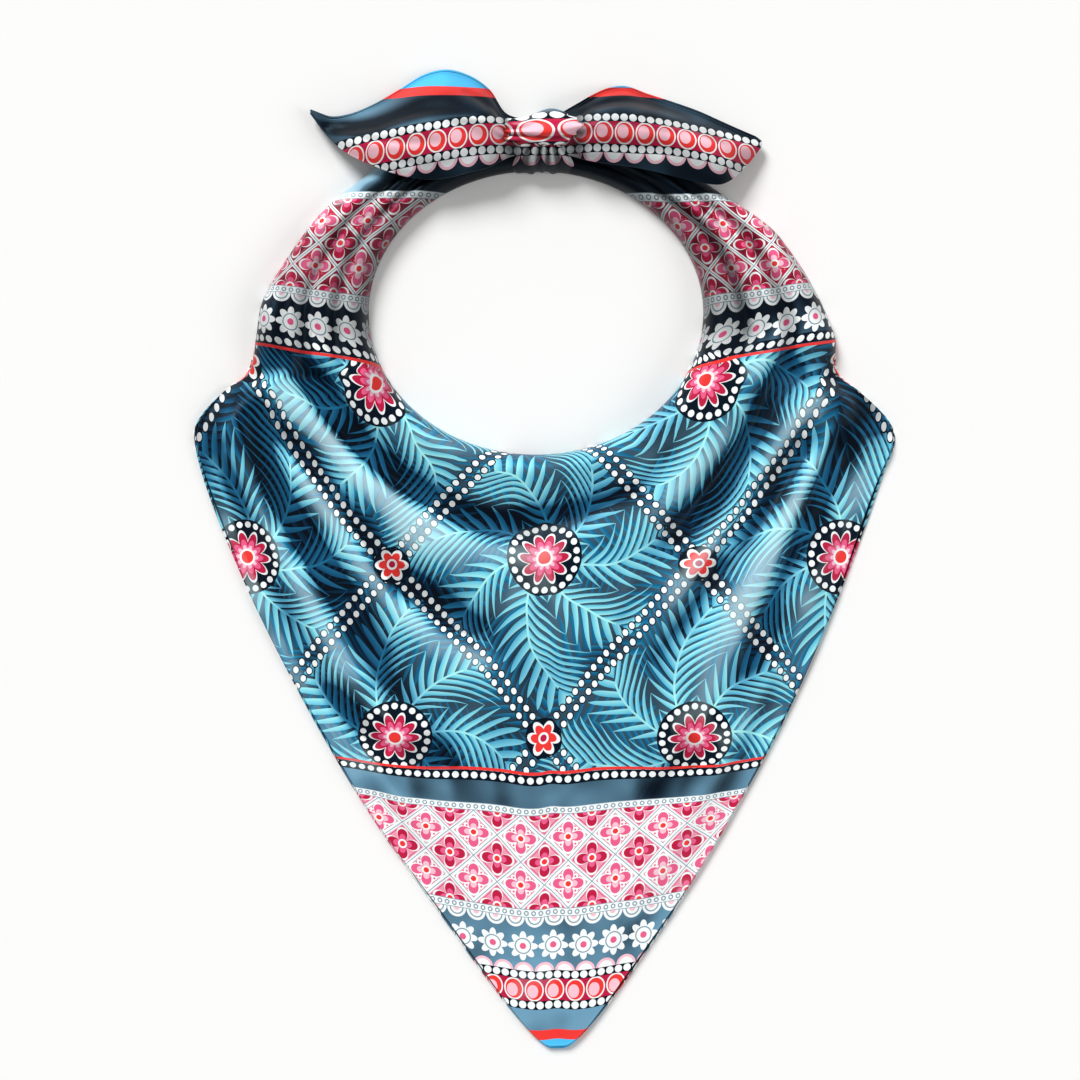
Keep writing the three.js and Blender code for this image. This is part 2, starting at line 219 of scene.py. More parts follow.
bandPleats = {  # where each pleat lies across the band at the knot and at the shoulder, depth, width
    "left": [(0.36, 0.3, 3.2, 0.07), (0.66, 0.56, 4.2, 0.08), (0.5, 0.42, 1.2, 0.05),
             (0.82, 0.74, 1.3, 0.06)],
    "right": [(0.3, 0.32, 4.0, 0.08), (0.7, 0.62, 3.6, 0.07), (0.5, 0.47, 1.2, 0.05),
              (0.16, 0.2, 0.9, 0.05)],
}


# Height of the chest, and what its folds add to it
def drapeTop(fromNeck, fromEdge, x, y):
    fade = bell(fromNeck / drape["foldFade"]) * smooth(fromEdge / drape["edgeRelease"])
    closed = np.minimum(1, troughs(valleys, x, y))
    fine = troughs(creases, x, y) * smooth(fromEdge / drape["creaseRelease"])
    ripple = drape["ripple"] * np.sin(x / 17 + y / 41) * np.sin(y / 23 - x / 60)
    folds = (ripple - drape["foldRise"] * closed) * fade - fine * mix(0.5, 1, fade)
    full = drape["edgeHeight"] + (drape["bedRise"] + drape["foldRise"]) * fade + folds
    roll = quarterRound(fromNeck / drape["neckRoll"])
    height = mix(drape["turnHeight"], np.maximum(full, drape["leastHeight"]), roll)
    # The folds given back only set the painted light and shade, made stronger where the real folds fade
    return height, folds * roll / mix(1, fade, 0.6)


def bandTop(side, towardsShoulder, fromNeck, length):
    shoulderCrown = drape["edgeHeight"] + drape["bedRise"] + drape["foldRise"] - 0.35
    crown = mix(drape["knotCrown"], shoulderCrown, smooth(towardsShoulder))
    place = fromNeck / length
    top = crown * (0.86 + 0.14 * np.sin(math.pi * np.clip(place, 0, 1)))
    folds = np.zeros(place.shape)
    for atKnot, atShoulder, depth, width in bandPleats[side]:
        folds = folds - depth * bell((place - mix(atKnot, atShoulder, towardsShoulder)) / width)
    inner = quarterRound(fromNeck / drape["neckRoll"])
    outer = quarterRound((length - fromNeck) / drape["bandRoll"])
    return mix(drape["turnHeight"], top + folds, inner * outer), folds * inner * outer


def bandShare(row):
    left = 1 - smooth((row - (leftSeam - 1.4)) / drape["seamBlend"])
    right = smooth((row - (rightSeam - 1.2)) / drape["seamBlend"])
    return left, right


def stepIn(row):
    return drape["plyStep"] * (1 + 0.8 * np.sin((row - 1) * 1.9) * np.cos((row - 1) * 0.7))


# A hem rolled by hand: distances in from the edge and heights over its seat, from the cloth round
def rolledHem(radius, turn=235, steps=9):
    phi = np.radians(np.linspace(0, turn, steps))
    return radius - radius * np.sin(phi), radius * np.cos(phi) - radius


def upperCloth():
    row = evenRows(0, lastRow, drape["rows"])[:, None]
    start, end, length, direction = sectionsAt(row[:, 0])
    length = length[:, None]
    left, right = bandShare(row)
    inBand = left + right
    edge = length - stepIn(row) * (1 - inBand)

    # columns from under the neckline, over the top, to the outer edge
    under = np.minimum(drape["turnUnder"], 0.46 * length)
    tuckShares, tuckPlaces = (1, 0.66, 0.36, 0.16), (0.5, 0.15)
    tuck = np.concatenate([under * f for f in tuckShares] + [length * 0 + s for s in tuckPlaces], 1)
    tuckHeight = drape["restHeight"] + np.array([0, 0, 0, 0, 0.06, 0.3])
    turn = drape["neckRoll"] * (1 - np.cos(np.linspace(0, math.pi / 2, 11)))
    along = np.linspace(0, 1, drape["middleColumns"] + 1)[1:] ** 1.15
    over = np.concatenate([turn + 0 * length, mix(drape["neckRoll"], edge - drape["bandRoll"], along)], 1)

    bandTurn = drape["bandRoll"] * (1 - np.sin(np.linspace(0, math.pi / 2, 9)))[1:]
    bandIn = np.concatenate([bandTurn + 0 * length] + [length * 0 + s for s in tuckPlaces[::-1]]
                            + [under * f for f in tuckShares[::-1]], 1)
    beadIn, beadDrop = rolledHem(drape["hemRadius"])
    hemIn = np.concatenate([[7.5, 4.6, 2.6, 1.5, 1.1], beadIn]) + 0 * length
    outer = edge - mix(hemIn, bandIn, inBand)

    across = np.concatenate([tuck, over, outer], 1)
    x = start[:, :1] + direction[:, :1] * across
    y = start[:, 1:] + direction[:, 1:] * across
    drapeHeight, drapeFolds = drapeTop(across, edge - across, x, y)
    towards = np.where(row < lastRow / 2, (row - leftKnot) / (leftSeam - leftKnot),
                       (rightKnot - row) / (rightKnot - rightSeam))
    towards = np.clip(towards, 0, 1)
    bandHeight, bandFolds = (np.where(row < lastRow / 2, *pair) for pair in zip(
        bandTop("left", towards, across, edge), bandTop("right", towards, across, edge)))

    # the outer columns roll under along a band and end in a hem along the drape
    first = tuck.shape[1] + over.shape[1]
    beadAt = first + 5
    flatEdge = drapeHeight[:, beadAt:beadAt + 1] + 0.2
    drapeHeight[:, beadAt:] = flatEdge + beadDrop
    bandHeight[:, first + 8:] = drape["restHeight"] + np.array([0.3, 0.06, 0, 0, 0, 0])
    z = mix(drapeHeight, bandHeight, inBand)
    z[:, :tuck.shape[1]] = tuckHeight
    folds = mix(drapeFolds, bandFolds, inBand)
    points = np.stack([x, y, z], -1)
    cloth = clothPlaces(points, first + 7, end, direction)
    outwards = np.abs(x - neck["x"]) - neck["halfWidth"]
    tilt = drape["bandTilt"] * outwards * smooth((y - drape["tiltFrom"]) / drape["tiltOver"]) * towards
    cloth[..., 1] -= tilt
    nearKnot = (inBand * (1 - smooth(towards * 1.15)))[..., None]
    # Painted shade on the bands and round the spots, painted highlight where a spot is below 0
    shade = inBand * (drape["bandShade"] + drape["neckShade"] * bell(across / edge / 0.34))
    for spotX, spotY, reach, dark in drape["paintedShadeSpots"]:
        shade = shade + dark * bell(np.hypot(x - spotX, y - spotY) / reach)
    return points, mix(cloth, points[..., :2], nearKnot), folds, shade


# How far each point lies from the start of its row, over the folds
def walkedAlong(points):
    steps = np.linalg.norm(np.diff(points, axis=1), axis=2)
    return np.concatenate([np.zeros((len(points), 1)), np.cumsum(steps, 1)], 1)


# Where each point lies on the flat cloth, measured in from the outer edge
def clothPlaces(points, edgeColumn, end, direction):
    walked = walkedAlong(points)
    fromEdge = walked[:, edgeColumn:edgeColumn + 1] - walked
    return end[:, None] - direction[:, None] * fromEdge[..., None]


# How far the folds lift each point over the cloth round it: 0 in a deep fold, 0.5 flat, 1 on a crest. The
# silk's painted light and shade follow it
relief = {"reach": 14, "height": 2.6}


def blurred(values, points):
    walked = walkedAlong(points)
    own = np.gradient(walked, axis=1)
    weights = bell((walked[:, :, None] - walked[:, None, :]) / relief["reach"]) * own[:, None, :]
    return np.einsum("rij,rj->ri", weights, values) / weights.sum(2)


def crestOf(folds, points):
    across = blurred(folds, points)
    around = blurred(across.T, points.transpose(1, 0, 2)).T
    return np.clip(0.5 + (folds - around) / (2 * relief["height"]), 0, 1)


# Meshes


# A shell on a grid of points: its cloth places carry the print, and its folds and shade set the painted
# light and painted shade on it
def gridPiece(name, nodes, points, cloth, folds, ply, flip=False, shade=0.0):
    rows, columns = points.shape[:2]
    index = np.arange(rows * columns).reshape(rows, columns)
    corners = [index[:-1, :-1], index[1:, :-1], index[1:, 1:], index[:-1, 1:]]
    faces = np.stack(corners[::-1] if flip else corners, -1).reshape(-1, 4)
    mesh = bpy.data.meshes.new(name)
    mesh.from_pydata((points.reshape(-1, 3) * mm).tolist(), [], faces.tolist())
    flat = mesh.uv_layers.new(name="cloth")
    flat.data.foreach_set("uv", (cloth.reshape(-1, 2)[faces.ravel()] / 100).ravel())
    # The crest attribute is the fold relief less the painted shade; the material paints light and shade
    # from it
    crest = mesh.attributes.new("crest", "FLOAT", "POINT")
    crest.data.foreach_set("value", (crestOf(folds, points) - shade).ravel().astype(np.float32))
    mesh.shade_smooth()
    piece = bpy.data.objects.new(name, mesh)
    bpy.context.scene.collection.objects.link(piece)
    for material in (printedSilk, reverseSilk):
        mesh.materials.append(material)
    shell = piece.modifiers.new("ply", "SOLIDIFY")
    shell.thickness = ply * mm
    shell.offset = -1
    shell.material_offset = 1
    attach(piece, "root")
    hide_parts(*nodes)
    area = sum(face.area for face in mesh.polygons)
    print(name, len(mesh.polygons), "faces,", round(area, 4), "square metres")


# A number inside a material, so that a pattern reads as a formula

class Signal:
    def __init__(self, tree, socket):
        self.tree = tree
        self.socket = socket

    def calc(self, kind, *values):
        node = self.tree.nodes.new("ShaderNodeMath")
        node.operation = kind
        for place, value in zip(node.inputs, values):
            if isinstance(value, Signal):
                self.tree.links.new(value.socket, place)
            else:
                place.default_value = value
        return Signal(self.tree, node.outputs[0])

    def __add__(self, other):
        return self.calc("ADD", self, other)

    def __sub__(self, other):
        return self.calc("SUBTRACT", self, other)

    def __rsub__(self, other):
        return self.calc("SUBTRACT", other, self)

    def __mul__(self, other):
        return self.calc("MULTIPLY", self, other)

    def __truediv__(self, other):
        return self.calc("DIVIDE", self, other)

    def __pow__(self, other):
        return self.calc("POWER", self, other)

    def __lt__(self, other):
        return self.calc("LESS_THAN", self, other)

    def __gt__(self, other):
        return self.calc("GREATER_THAN", self, other)

    def __and__(self, other):
        return self.calc("MULTIPLY", self, other)

    def __abs__(self):
        return self.calc("ABSOLUTE", self)

    def fract(self):
        return self.calc("FRACT", self)

    def nearest(self):
        return self.calc("ROUND", self)

    def cos(self):
        return self.calc("COSINE", self)

    def sin(self):
        return self.calc("SINE", self)

    def most(self, other):
        return self.calc("MAXIMUM", self, other)

    def least(self, other):
        return self.calc("MINIMUM", self, other)

    def reach(self, other):  # length of the arrow (self, other)
        return (self * self + other * other) ** 0.5

    def heading(self, other):  # its direction
        return self.calc("ARCTAN2", other, self)


def colour(code):
    parts = [int(code[i:i + 2], 16) / 255 for i in (1, 3, 5)]
    return (*(((c + 0.055) / 1.055) ** 2.4 if c > 0.04045 else c / 12.92 for c in parts), 1)


# Lays an ink over a paint where the mask is 1
def lay(tree, paint, ink, mask):
    node = tree.nodes.new("ShaderNodeMix")
    node.data_type = "RGBA"
    for place, value in ((node.inputs[0], mask), (node.inputs[6], paint), (node.inputs[7], ink)):
        if isinstance(value, str):
            place.default_value = colour(value)
        elif isinstance(value, Signal):
            tree.links.new(value.socket, place)
        elif isinstance(value, (int, float)):
            place.default_value = value
        else:
            tree.links.new(value, place)
    return node.outputs[2]


# The mask of an ink that comes in with a value, up to a most
def ramp(value, steep, most):
    return (value * steep).most(0.0).least(most)


def noise(tree, x, y, size, detail=1, seed=0.0):
    place = tree.nodes.new("ShaderNodeCombineXYZ")
    for i, value in enumerate((x / size, y / size)):
        tree.links.new(value.socket, place.inputs[i])
    place.inputs[2].default_value = seed
    node = tree.nodes.new("ShaderNodeTexNoise")
    node.inputs["Scale"].default_value = 1
    node.inputs["Detail"].default_value = detail
    tree.links.new(place.outputs[0], node.inputs["Vector"])
    return Signal(tree, node.outputs[0])


# The print: a half-drop field of leaf sprays and rosettes in a pearl trellis, with borders

# slate is the ground's painted highlight, night the painted shade, and the pale sheen ink a painted
# highlight
inks = {
    "night": "#020308", "navy": "#06101f", "slate": "#6e9db8", "white": "#f4f8f8", "grey": "#7f99a6",
    "crimson": "#bf1d44", "pink": "#ea5f8c", "pale": "#f8c3d0", "red": "#ef3a35", "sky": "#4dbdf2",
    "wine": "#7d1428", "scarlet": "#bb2233", "blush": "#f09ab4", "paintedSheen": "#d6f5fb",
}
# Each leaf ink comes as a painted-shade copy for the folds and a painted-light copy for the crests
leafInks = {  # each from its shade in a fold to its shade on a crest, at the leaflet's two sides
    "front": (("#06487c", "#2fb0d8"), ("#1e92c8", "#b2fcf8")),
    "back": (("#032640", "#12628e"), ("#0b4e7c", "#3aa5cb")),
}
field = {"cellWidth": 140, "cellHeight": 168, "from": -101, "to": 93, "wander": 3.4}
frontLeaves = {"leaves": 7, "twist": 0.013, "from": 12, "halfWidth": 30, "taper": 0.4, "pitch": 4.7,
               "sweep": 0.95, "bend": 0.012, "fill": 0.68}
backLeaves = {"leaves": 6, "twist": 0.01, "from": 6, "halfWidth": 32, "taper": 0.3, "pitch": 4.3,
              "sweep": 0.8, "bend": 0.01, "fill": 0.66}
rosettes = {"disc": 17.6, "ring": 15.2, "pearls": 22, "flower": 12.6, "petals": 10,
            "smallDisc": 9.2, "smallFlower": 8.4, "smallPetals": 6}
trellis = {"apart": 2.6, "pitch": 4.6, "pearl": 1.4, "rim": 1.95}
border = {  # heights over the hem line: stripes, petals, lobes, and the lozenge band (ringBand is a y)
    "hemLine": -234, "sky": 8, "red": 12.8, "petals": 31.4, "lobes": 40, "stripTop": 48, "band": 69.5,
    "ringBand": 121.5, "bandHeight": 44.5, "bow": 0.0018, "waver": 3.4, "edging": 1.9, "bead": 3.4,
    "scallopPitch": 9.2, "scallop": 4.5, "daisyPitch": 14.2, "daisyDrop": 17.2, "daisy": 7.0,
    "petalPitch": 9.6, "petal": (4.5, 5.2), "pearlPitch": 4.1, "pearlLine": 7.0,
}
loopReach = 200  # the loop's cloth lies nearer than this in x, the tie ends' and the knot's farther out


def diamonds(x, y, width, height, shift=0.0):
    a = x / width + y / height + shift
    b = x / width - y / height + shift
    cellA, cellB = a.nearest(), b.nearest()
    alpha, beta = a - cellA, b - cellB
    odd = ((cellA + cellB) / 2).fract() * 2
    return (alpha + beta) * (width / 2), (alpha - beta) * (height / 2), alpha, beta, odd


# Leaves round a centre: each is a midrib with leaflets that sweep forward to pointed tips
def leafSprays(dx, dy, alpha, beta, odd, look):
    radius = dx.reach(dy)
    angle = dx.heading(dy) + radius * look["twist"] * (odd * 2 - 1)
    sector = 2 * math.pi / look["leaves"]
    inSector = ((angle / sector).fract() - 0.5) * sector
    along, aside = radius * inSector.cos(), abs(radius * inSector.sin())
    place = abs(alpha).most(abs(beta)) * 2.05
    half = ((place * (1 - place)).most(0.0001) * 4) ** look["taper"] * look["halfWidth"]
    half = half.least(radius * (math.sin(sector / 2) * 1.02))
    leaflet = ((along - aside * look["sweep"] + aside * aside * look["bend"]) / look["pitch"]).fract()
    narrow = 1 - (aside / half) * (aside / half)
    mask = (abs(leaflet - 0.5) * 2 < narrow * look["fill"]) & (radius > look["from"])
    rib = (aside < 0.55) & (place < 0.86) & (radius > look["from"])
    return mask, leaflet, rib


def rosette(radius, angle, size, petals):
    return radius < (abs((angle * (petals / 2)).cos()) * 0.4 + 0.6) * size


# Navy ground, with slate painted as a highlight where the painted light is strong, and painted shade
# darkening it towards the knot
def groundPaint(tree, y, light):
    # lift is the share of the painted slate highlight
    lift = light ** 2.2
    nearKnot = ((y - 160) / 14).most(0.0).least(0.75)
    return lay(tree, lay(tree, inks["navy"], inks["slate"], lift), inks["night"], nearKnot & (1 - lift))


def leafPaint(tree, shades, light, tone):
    deep, bright = (lay(tree, *pair, light) for pair in shades)
    return lay(tree, deep, bright, tone)


def printedPaint(tree, x, y, light):
    drift = field["wander"]
    wx = x + (noise(tree, x, y, 34, seed=1.7) - 0.5) * (2 * drift)
    wy = y + (noise(tree, x, y, 34, seed=8.3) - 0.5) * (2 * drift)
    bow = ((-80 - y) / 50).most(0.0).least(1.0) * border["bow"] * (abs(x) < loopReach)
    y = y + (noise(tree, x, y, 42, seed=4.1) - 0.5) * border["waver"] - x * x * bow
    inField = (y > field["from"]) & (y < field["to"])
    # Less painted highlight on the ground inside the field
    paint = groundPaint(tree, y, light * (1 - inField * 0.24))

    # leaves: the back ones round the trellis crossings, the front ones round the rosettes
    behind = diamonds(wx, wy, field["cellWidth"], field["cellHeight"], 0.5)
    mask, tone, _ = leafSprays(*behind, backLeaves)
    paint = lay(tree, paint, leafPaint(tree, leafInks["back"], light, tone * tone), mask & inField)
    front = diamonds(wx, wy, field["cellWidth"], field["cellHeight"])
    mask, tone, rib = leafSprays(*front, frontLeaves)
    # Stronger painted light on the leaves
    light = (light * 1.2 + 0.04).least(1.0)
    front = leafPaint(tree, leafInks["front"], light, tone)
    paint = lay(tree, paint, front, mask & inField)
    paint = lay(tree, paint, leafPaint(tree, leafInks["front"], light, 0.9), rib & inField)
    # Painted shade: near-black over the ground and leaves in the folds
    paint = lay(tree, paint, inks["night"], ramp(0.28 - light, 1.6, 0.3))

    # double line of pearls along the trellis
    dx, dy, alpha, beta, _ = diamonds(x, y, field["cellWidth"], field["cellHeight"])
    steep = math.hypot(1 / field["cellWidth"], 1 / field["cellHeight"])
    run = math.hypot(field["cellWidth"], field["cellHeight"]) / 2
    pearls = round(run / trellis["pitch"])
    for line, other in ((alpha, beta), (beta, alpha)):
        off = abs((0.5 - abs(line)) / steep - trellis["apart"])
        step = ((other * pearls).fract() - 0.5) * (run / pearls)
        pearl = off.reach(step)
        paint = lay(tree, paint, inks["navy"], (pearl < trellis["rim"]) & inField)
        paint = lay(tree, paint, inks["white"], (pearl < trellis["pearl"]) & inField)

    # a rosette in each diamond and a small one on each crossing
    radius, angle = dx.reach(dy), dx.heading(dy)
    around = (angle * (rosettes["pearls"] / (2 * math.pi))).fract() - 0.5
    ring = abs(radius - rosettes["ring"]).reach(around * 4.3)
    size, petals = rosettes["flower"], rosettes["petals"]
    for ink, mask in (
        ("navy", radius < rosettes["disc"]), ("white", ring < 1.5),
        ("white", rosette(radius, angle, size, petals)),
        ("crimson", rosette(radius, angle, size - 1.2, petals)),
        ("pink", rosette(radius, angle, size - 4.4, petals)),
        ("pale", rosette(radius, angle, size - 7, petals)),
        ("white", radius < 3.9), ("red", radius < 2.9),
    ):
        paint = lay(tree, paint, inks[ink], mask & inField)
    cx, cy = behind[:2]
    radius, angle = cx.reach(cy), cx.heading(cy)
    size, petals = rosettes["smallFlower"], rosettes["smallPetals"]
    for ink, mask in (
        ("navy", radius < rosettes["smallDisc"]), ("white", rosette(radius, angle, size, petals)),
        ("red", rosette(radius, angle, size - 1.8, petals)), ("white", radius < 2.6),
        ("crimson", radius < 1.6),
    ):
        paint = lay(tree, paint, inks[ink], mask & inField)

    # a line of pearls and a red one close the field at both ends
    for past in (y - field["to"], field["from"] - y):
        pearl = inRow(x, 4.4).reach(past - 2)
        for ink, mask in (
            ("navy", abs(past - 2) < 2.4), ("white", pearl < 1.6), ("red", abs(past + 1.2) < 0.7),
        ):
            paint = lay(tree, paint, inks[ink], mask)
    return borderPaint(tree, paint, x, y)


# Cell of a plain row: the place along it, from -half a pitch to half a pitch
def inRow(x, pitch):
    return ((x / pitch).fract() - 0.5) * pitch


def borderPaint(tree, paint, x, y):
    fromHem = y - border["hemLine"]
    onRing = y > 0
    low = mixSignal(fromHem - border["band"], y - border["ringBand"], onRing)
    tall = border["bandHeight"]

    # lozenge band
    width = tall / 2
    dx, dy, alpha, beta, odd = diamonds(x, low, width, width)
    radius, angle = dx.reach(dy), dx.heading(dy)
    frameIn = abs(alpha).most(abs(beta))
    deep = lay(tree, inks["blush"], inks["wine"], onRing)
    bright = lay(tree, inks["white"], inks["scarlet"], onRing)
    cloth = lay(tree, deep, bright, odd)
    speck = inRow(x, 1.7).reach(inRow(low, 1.7)) < 0.5
    cloth = lay(tree, cloth, inks["crimson"], abs(frameIn - 0.4) < 0.009)
    cloth = lay(tree, cloth, inks["pink"], speck & (frameIn < 0.38) & odd)
    petal = abs((angle * 2).cos()) ** 0.6
    for ink, mask in (
        ("white", radius < petal * 8.2), ("crimson", radius < petal * 7.2),
        ("pink", radius < petal * 4.4), ("pink", (radius < petal * 7.2) & odd),
        ("pale", (radius < petal * 4.4) & odd), ("white", radius < 2.1), ("red", radius < 1.3),
        ("white", frameIn > 0.445), ("grey", frameIn > 0.488),
    ):
        cloth = lay(tree, cloth, inks[ink], mask)
    paint = lay(tree, paint, cloth, (low > 0) & (low < tall))

    # beaded edging on both sides of it, scallops and daisies below it
    upper = low > tall / 2
    half = border["edging"]
    edging = mixSignal(low + half, low - (tall + half), upper)
    bead = inRow(x, border["bead"]).reach(edging)
    paint = lay(tree, paint, inks["white"], abs(edging) < half)
    paint = lay(tree, paint, inks["grey"], (bead < 1.15) & (bead > 0.6))
    paint = lay(tree, paint, inks["grey"], abs(abs(edging) - 1.75) < 0.16)
    disc = inRow(x, border["scallopPitch"]).reach(low + 2 * half)
    below = low < -2 * half
    for ink, mask in (
        ("white", disc < border["scallop"]), ("grey", abs(disc - 3.0) < 0.3), ("pale", disc < 1.4),
    ):
        paint = lay(tree, paint, inks[ink], mask & below)
    dx, dy = inRow(x + 3, border["daisyPitch"]), low + border["daisyDrop"]
    radius, angle = dx.reach(dy), dx.heading(dy)
    onLoop = abs(x) < loopReach
    for ink, mask in (
        ("white", rosette(radius, angle, border["daisy"], 8)), ("grey", abs(radius - 3.6) < 0.28),
        ("white", radius < 2.4), ("pink", radius < 1.5),
    ):
        paint = lay(tree, paint, inks[ink], mask & onLoop)

    # petals between two pearl lines, then the hem's stripes
    nearHem = fromHem < border["stripTop"]
    pitch, (petalWide, petalTall) = border["petalPitch"], border["petal"]
    dx, dy = inRow(x, pitch), fromHem - border["petals"]
    petal = (dx / petalWide).reach(dy / petalTall)
    shine = ((dx + 0.7) / 3.0).reach((dy + 0.6) / 3.6)
    pearlLine = abs(dy) - border["pearlLine"]
    pearl = inRow(x, border["pearlPitch"]).reach(pearlLine)
    lobe = inRow(x + pitch / 2, pitch).reach(fromHem - border["lobes"])
    overLobes = fromHem > border["lobes"]
    for ink, mask in (
        ("pale", (lobe < 4.6) & overLobes), ("white", (lobe < 3.4) & overLobes),
        ("crimson", abs(dy) < 6.2), ("white", petal < 1.0), ("red", petal < 0.86), ("pale", shine < 0.86),
        ("navy", abs(pearlLine) < 2.0), ("white", pearl < 1.75),
    ):
        paint = lay(tree, paint, inks[ink], mask & nearHem)
    paint = lay(tree, paint, inks["red"], fromHem < border["red"])
    return lay(tree, paint, inks["sky"], fromHem < border["sky"])


def mixSignal(a, b, share):
    return a + (b - a) * share


silk = {
    "roughness": 0.38, "specular": 0.2, "glint": "#a9cfe4", "sheen": 0.02, "sheenRoughness": 0.35,
    "anisotropic": 0.3, "twill": 0.55, "twillDepth": 0.03, "creaseDepth": 0.16,
}
# Painted light and shade on the silk: how light the inks are painted on flat cloth, by the folds, towards
# the point, and with a random broad variation
paintedLight = {  # how light the inks are: on flat cloth, by the folds, towards the point, and by two cloudings
    "flat": 0.56, "folds": 1.75, "point": 0.42, "broad": 60, "small": 21, "smallShare": 0.7,
    "reverse": 0.7, "paintedSheenFrom": 0.82, "nightFrom": 0.34,
}


def silkMaterial(name, printed):
    material = bpy.data.materials.new(name)
    material.use_nodes = True
    tree = material.node_tree
    shader = tree.nodes["Principled BSDF"]
    flat = tree.nodes.new("ShaderNodeUVMap")
    flat.uv_map = "cloth"
    split = tree.nodes.new("ShaderNodeSeparateXYZ")
    tree.links.new(flat.outputs[0], split.inputs[0])
    x, y = (Signal(tree, split.outputs[i]) * 100 for i in range(2))
    measured = tree.nodes.new("ShaderNodeAttribute")
    measured.attribute_name = "crest"
    crest = Signal(tree, measured.outputs["Fac"])

    # painted light and shade: the inks are painted lighter on the crests and darker in the folds, unevenly,
    # and lighter towards the point
    small = (noise(tree, x, y, paintedLight["small"], seed=5.2) - 0.5) * paintedLight["smallShare"]
    cloudy = noise(tree, x, y, paintedLight["broad"]) - 0.5 + small
    nearPoint = ((-60 - y) / 160).most(0.0).least(1.0) * (abs(x) < loopReach)
    lit = (crest - 0.5) * paintedLight["folds"] + cloudy + nearPoint * paintedLight["point"] + paintedLight["flat"]
    light = lit.most(0.0).least(1.0)
    if printed:
        paint = printedPaint(tree, x, y, light)
    else:
        paint = groundPaint(tree, y, light * paintedLight["reverse"])
    # Painted highlight: a pale sheen colour laid where the painted light is strongest
    paint = lay(tree, paint, inks["paintedSheen"], ramp(lit - nearPoint * 0.3 - paintedLight["paintedSheenFrom"], 0.7, 0.44))
    # Painted shade: near-black laid in the folds, and deeper where painted shade pushes the crest below 0
    paint = lay(tree, paint, inks["night"], ramp(paintedLight["nightFrom"] - light, 1.4, 0.4))
    paint = lay(tree, paint, inks["night"], ramp(0 - crest, 1.6, 0.8))
    tree.links.new(paint, shader.inputs["Base Color"])

    rough = noise(tree, x, y, 9, 2) * 0.12 + (silk["roughness"] - 0.06)
    tree.links.new(rough.socket, shader.inputs["Roughness"])
    shader.inputs["Specular IOR Level"].default_value = silk["specular"]
    shader.inputs["Specular Tint"].default_value = colour(silk["glint"])
    shader.inputs["Sheen Weight"].default_value = silk["sheen"]
    shader.inputs["Sheen Roughness"].default_value = silk["sheenRoughness"]
    shader.inputs["Anisotropic"].default_value = silk["anisotropic"]

    # twill lines, and soft creases that are too fine for the mesh
    twill = ((x + y * 0.6) * (2 * math.pi / silk["twill"])).sin() * (silk["twillDepth"] / 2)
    crease = noise(tree, x + y * 0.5, y * 0.45, 11, 3) * silk["creaseDepth"]
    bump = tree.nodes.new("ShaderNodeBump")
    bump.inputs["Distance"].default_value = mm
    tree.links.new((twill + crease).socket, bump.inputs["Height"])
    tree.links.new(bump.outputs[0], shader.inputs["Normal"])
    return material


printedSilk = silkMaterial("printed_silk", True)
reverseSilk = silkMaterial("reverse_silk", False)
print("silk materials made")

points, cloth, folds, shade = upperCloth()
gridPiece("upper_cloth", ["front_drape", "left_band", "right_band"],
          points, cloth, folds, drape["ply"], flip=True, shade=shade)


# The lower ply, which shows as a step along the free edges

lowerPly = {"rows": 260, "columns": 34, "ply": 0.42, "hemRadius": 0.62, "lift": 0.45}


def lowerCloth():
    row = evenRows(leftSeam - 0.5, rightSeam + 0.5, lowerPly["rows"])[:, None]
    start, end, length, direction = sectionsAt(row[:, 0])
    length = length[:, None]
    beadIn, beadDrop = rolledHem(lowerPly["hemRadius"])
    flat = np.linspace(0, 1, lowerPly["columns"])
    inner = mix(drape["turnUnder"] - 1, length - 1.6, flat)
    across = np.concatenate([inner, length - beadIn], 1)
    rest = drape["restHeight"] + lowerPly["lift"] * smooth((1 - flat) * 12) * smooth(flat * 4) + 0 * length
    bead = drape["restHeight"] - beadDrop + 0 * length
    x = start[:, :1] + direction[:, :1] * across
    y = start[:, 1:] + direction[:, 1:] * across
    points = np.stack([x, y, np.concatenate([rest, bead], 1)], -1)
    return points, clothPlaces(points, lowerPly["columns"] + 3, end, direction), 0 * across


points, cloth, folds = lowerCloth()
gridPiece("lower_cloth", ["under_layer"], points, cloth, folds, lowerPly["ply"])


# Tie ends: a corner of the folded square each, two plies with a fold along the low side

